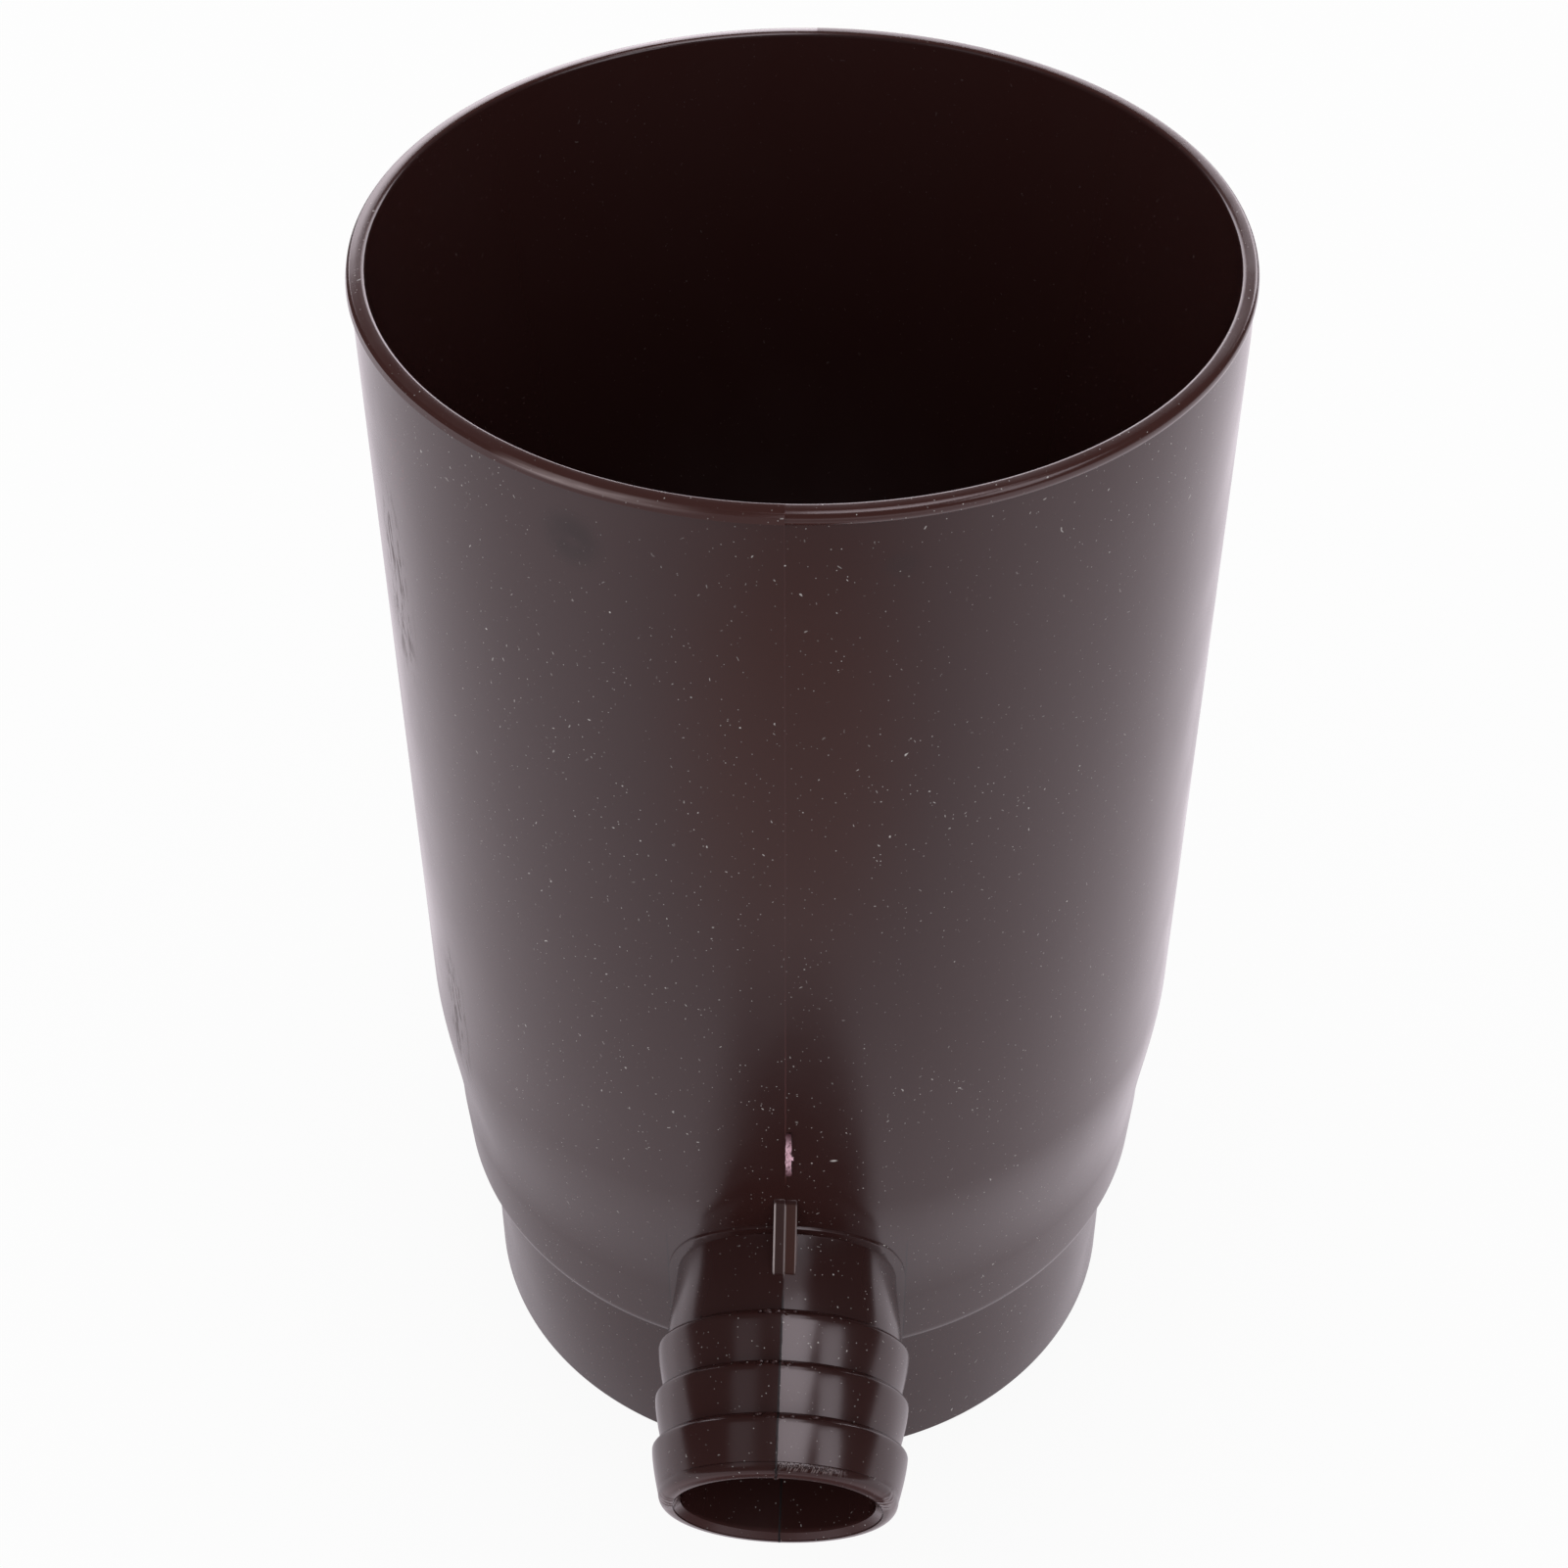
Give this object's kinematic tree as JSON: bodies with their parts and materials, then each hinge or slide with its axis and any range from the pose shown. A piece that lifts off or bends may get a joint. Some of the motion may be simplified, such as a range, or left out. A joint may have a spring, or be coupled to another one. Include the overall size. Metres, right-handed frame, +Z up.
{
  "type": "downpipe rainwater diverter",
  "caption": "Moulded socket body with an inner overflow collar and ring trough, a foot spigot below and a barbed hose spigot on its front, for drawing rainwater off a downpipe.",
  "frame": {"origin": "on the downpipe axis, at the lower end of the foot's bore", "axes": "+Z up along the downpipe axis, towards the socket; the hose spigot points to -Y and falls"},
  "size_m": [0.106, 0.1355, 0.1745],
  "materials": {
    "brown_plastic": "glossy chocolate brown, as moulded"
  },
  "bodies": {
    "root": {"diverter_body": "brown_plastic"}
  },
  "joints": []
}
